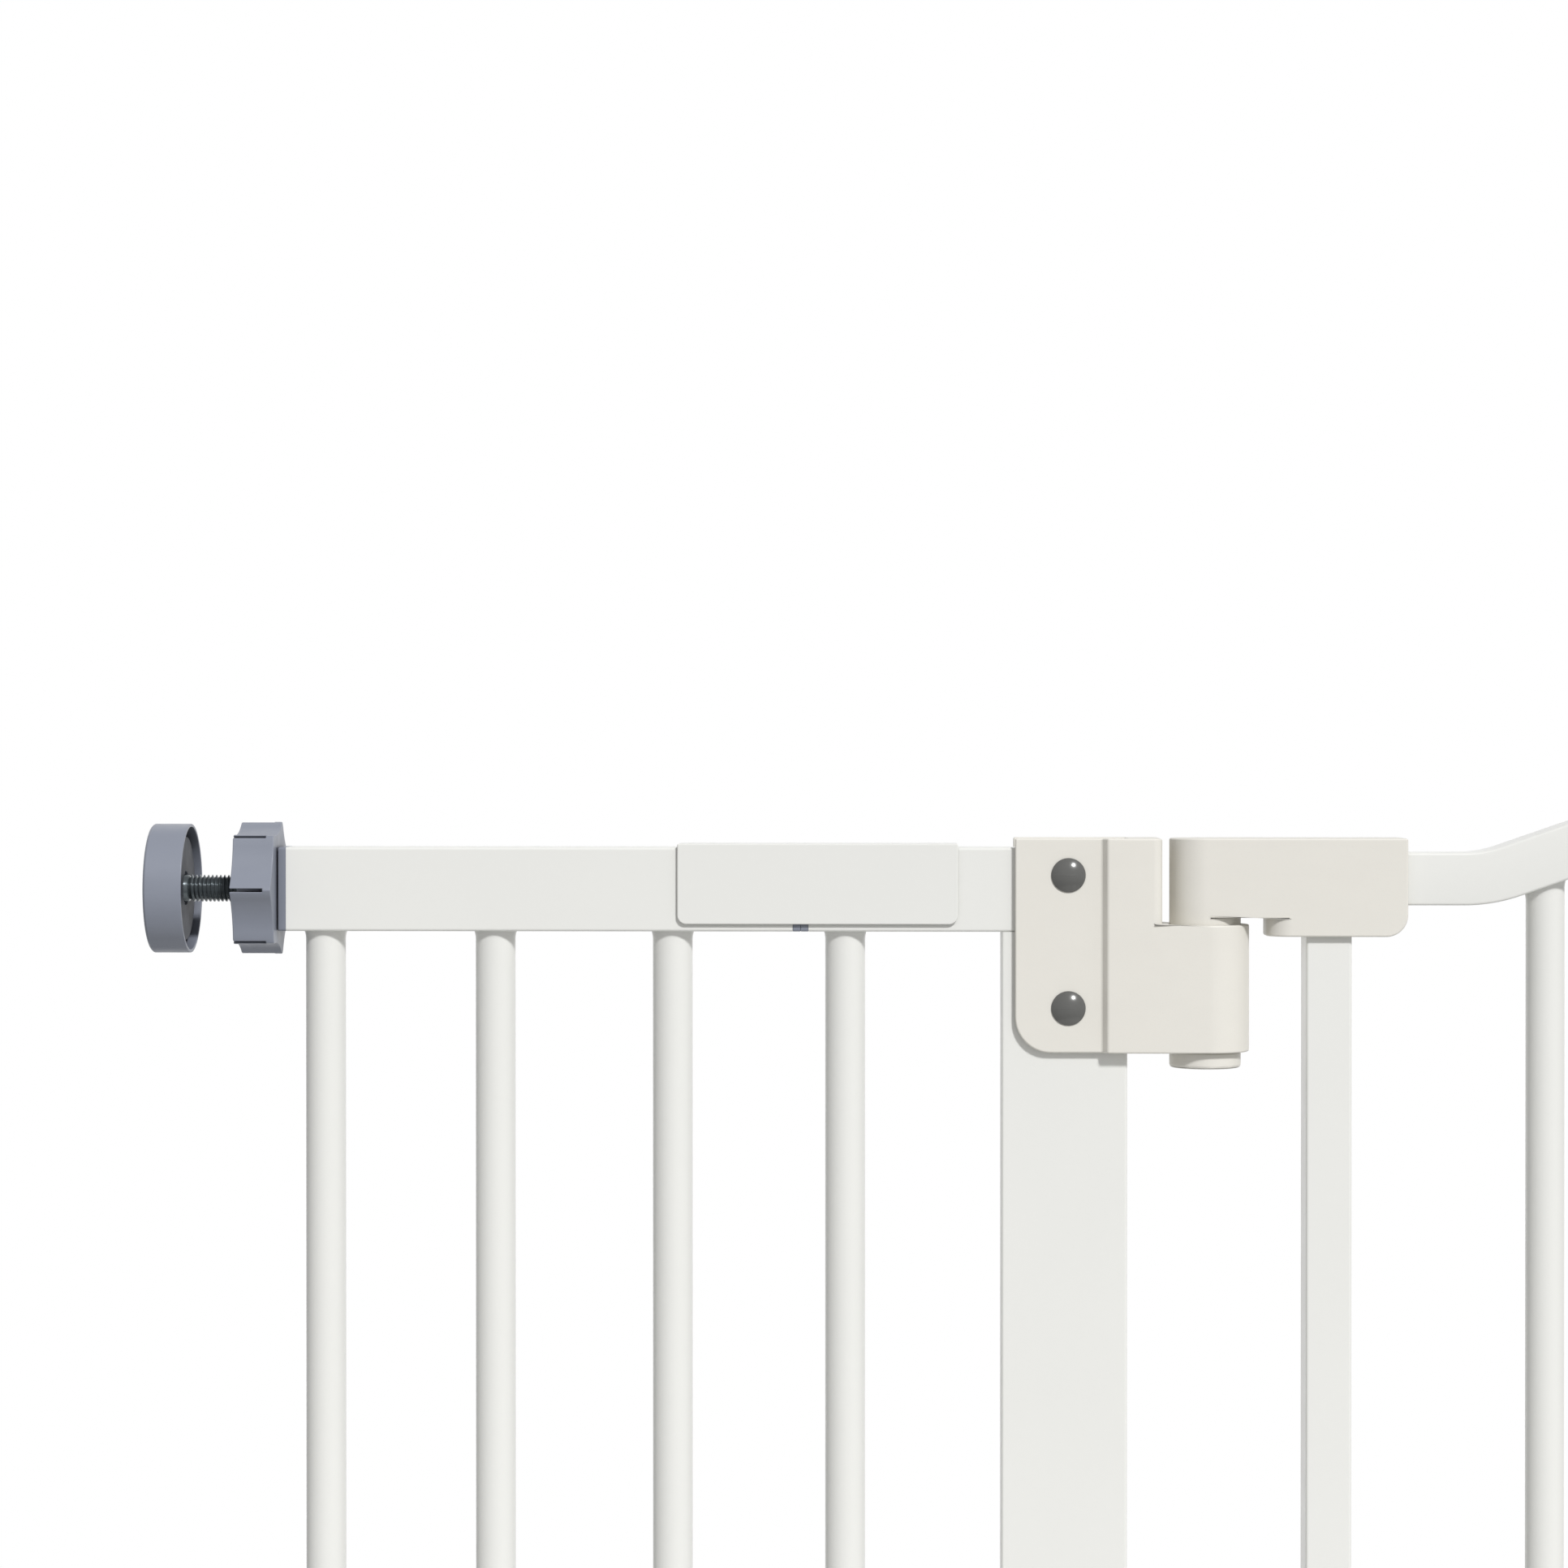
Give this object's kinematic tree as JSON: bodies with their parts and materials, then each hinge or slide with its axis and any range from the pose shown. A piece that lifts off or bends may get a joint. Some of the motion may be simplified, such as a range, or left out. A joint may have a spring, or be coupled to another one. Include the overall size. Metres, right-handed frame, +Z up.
{
  "type": "pressure-fitted safety baby gate",
  "caption": "White tubular steel stair gate held between walls by screw-out pads, with an arched swinging door, a sliding lock and a side extension panel.",
  "frame": {"origin": "on the floor, midway between the two wall faces and on the middle plane of the tubes", "axes": "+X along the gate from the extension side to the latch side, +Y from the front to the back, +Z up"},
  "size_m": [1.0672, 0.0502, 0.7799],
  "materials": {
    "rail_paint": "semi-gloss white powder coat",
    "bar_paint": "semi-gloss white powder coat",
    "cream_plastic": "satin moulded cream",
    "grey_plastic": "satin moulded blue-grey",
    "dark_steel": "black oxide thread",
    "screw_steel": "dark grey domed",
    "spring_steel": "bright",
    "bush_plastic": "acetal",
    "foot_rubber": "matt"
  },
  "bodies": {
    "frame": {"hinge_post": "rail_paint", "latch_post": "rail_paint", "threshold_rail": "rail_paint", "left_top_rail": "rail_paint", "right_top_rail": "rail_paint", "left_frame_bar": "bar_paint", "right_frame_bar": "bar_paint", "extension_top_rail": "rail_paint", "extension_bottom_rail": "rail_paint", "extension_bar_1": "bar_paint", "extension_bar_2": "bar_paint", "extension_bar_3": "bar_paint", "connector_cover_upper": "bar_paint", "connector_cover_lower": "bar_paint", "extension_plugs": "grey_plastic", "frame_plugs": "grey_plastic", "joining_rods": "dark_steel", "spindle_plug_upper_left": "grey_plastic", "spindle_plug_lower_left": "grey_plastic", "spindle_plug_upper_right": "grey_plastic", "spindle_plug_lower_right": "grey_plastic", "hinge_bracket_upper": "cream_plastic", "hinge_bracket_lower": "cream_plastic", "hinge_bushes": "bush_plastic", "latch_keeper": "cream_plastic", "clamp_bolts": "screw_steel", "clamp_nuts": "screw_steel", "floor_feet": "foot_rubber"},
    "door": {"hinge_stile": "rail_paint", "latch_stile": "rail_paint", "door_top_rail": "rail_paint", "door_bottom_rail": "rail_paint", "door_bar_1": "bar_paint", "door_bar_2": "bar_paint", "door_bar_3": "bar_paint", "door_bar_4": "bar_paint", "door_bar_5": "bar_paint", "hinge_arm_upper": "cream_plastic", "hinge_arm_lower": "cream_plastic", "hinge_caps": "cream_plastic", "cap_screws": "screw_steel", "stile_cap": "grey_plastic", "handle_front": "cream_plastic", "handle_rear": "cream_plastic", "handle_screws": "screw_steel", "detent_spring": "spring_steel"},
    "lock": {"lock_slider": "grey_plastic", "lock_bolt": "grey_plastic"},
    "nut_upper_left": {"hand_nut_upper_left": "grey_plastic"},
    "spindle_upper_left": {"spindle_upper_left": "dark_steel", "wall_pad_upper_left": "grey_plastic"},
    "nut_lower_left": {"hand_nut_lower_left": "grey_plastic"},
    "spindle_lower_left": {"spindle_lower_left": "dark_steel", "wall_pad_lower_left": "grey_plastic"},
    "nut_upper_right": {"hand_nut_upper_right": "grey_plastic"},
    "spindle_upper_right": {"spindle_upper_right": "dark_steel", "wall_pad_upper_right": "grey_plastic"},
    "nut_lower_right": {"hand_nut_lower_right": "grey_plastic"},
    "spindle_lower_right": {"spindle_lower_right": "dark_steel", "wall_pad_lower_right": "grey_plastic"}
  },
  "joints": [
    {"name": "door_swing", "type": "hinge", "parent": "frame", "child": "door", "pos_m": [-0.14585, 0, 0.4], "axis": [0, 0, 1], "range_deg": [-90, 90]},
    {"name": "lock_slide", "type": "slide", "parent": "door", "child": "lock", "axis": [1, 0, 0], "range_m": [0, 0.0125]},
    {"name": "nut_turn_upper_left", "type": "hinge", "parent": "frame", "child": "nut_upper_left", "pos_m": [-0.48305, 0, 0.735], "axis": [1, 0, 0], "range_deg": [-3601, 3601]},
    {"name": "spindle_slide_upper_left", "type": "slide", "parent": "frame", "child": "spindle_upper_left", "axis": [-1, 0, 0], "range_m": [-0.015, 0.015]},
    {"name": "nut_turn_lower_left", "type": "hinge", "parent": "frame", "child": "nut_lower_left", "pos_m": [-0.48305, 0, 0.027], "axis": [1, 0, 0], "range_deg": [-3601, 3601]},
    {"name": "spindle_slide_lower_left", "type": "slide", "parent": "frame", "child": "spindle_lower_left", "axis": [-1, 0, 0], "range_m": [-0.015, 0.015]},
    {"name": "nut_turn_upper_right", "type": "hinge", "parent": "frame", "child": "nut_upper_right", "pos_m": [0.48305, 0, 0.735], "axis": [-1, 0, 0], "range_deg": [-3601, 3601]},
    {"name": "spindle_slide_upper_right", "type": "slide", "parent": "frame", "child": "spindle_upper_right", "axis": [1, 0, 0], "range_m": [-0.015, 0.015]},
    {"name": "nut_turn_lower_right", "type": "hinge", "parent": "frame", "child": "nut_lower_right", "pos_m": [0.48305, 0, 0.027], "axis": [-1, 0, 0], "range_deg": [-3601, 3601]},
    {"name": "spindle_slide_lower_right", "type": "slide", "parent": "frame", "child": "spindle_lower_right", "axis": [1, 0, 0], "range_m": [-0.015, 0.015]}
  ],
  "couplings": [
    {"joint": "nut_turn_upper_left", "follows": "spindle_slide_upper_left", "rad_per_m": 4188.8},
    {"joint": "nut_turn_lower_left", "follows": "spindle_slide_lower_left", "rad_per_m": 4188.8},
    {"joint": "nut_turn_upper_right", "follows": "spindle_slide_upper_right", "rad_per_m": 4188.8},
    {"joint": "nut_turn_lower_right", "follows": "spindle_slide_lower_right", "rad_per_m": 4188.8}
  ]
}
